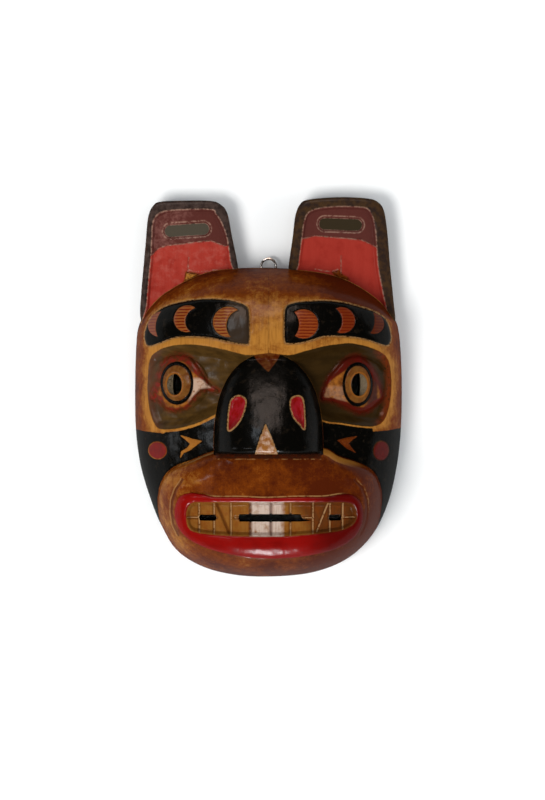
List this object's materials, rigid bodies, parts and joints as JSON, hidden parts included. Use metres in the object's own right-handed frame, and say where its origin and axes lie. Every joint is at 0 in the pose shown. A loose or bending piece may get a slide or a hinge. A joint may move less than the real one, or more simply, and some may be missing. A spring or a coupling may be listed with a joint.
{
  "type": "carved wooden bear mask",
  "caption": "Carved and painted wooden mask of a bear's face with upright ears, bared teeth, pierced eyes, a hollow back and a small hanging ring at its top edge.",
  "frame": {"origin": "centre of the bounding box at its bottom, on the plane of the flat back rim that the mask lies on", "axes": "+X to the right of a viewer who faces the mask, +Y up the face towards the ears, +Z out of the face"},
  "size_m": [0.2153, 0.3049, 0.1272],
  "materials": {
    "painted_wood": "stained, painted and glossy varnished",
    "ring_steel": "bright plated wire"
  },
  "bodies": {
    "root": {"mask_body": "painted_wood", "hanging_ring": "ring_steel"}
  },
  "joints": []
}
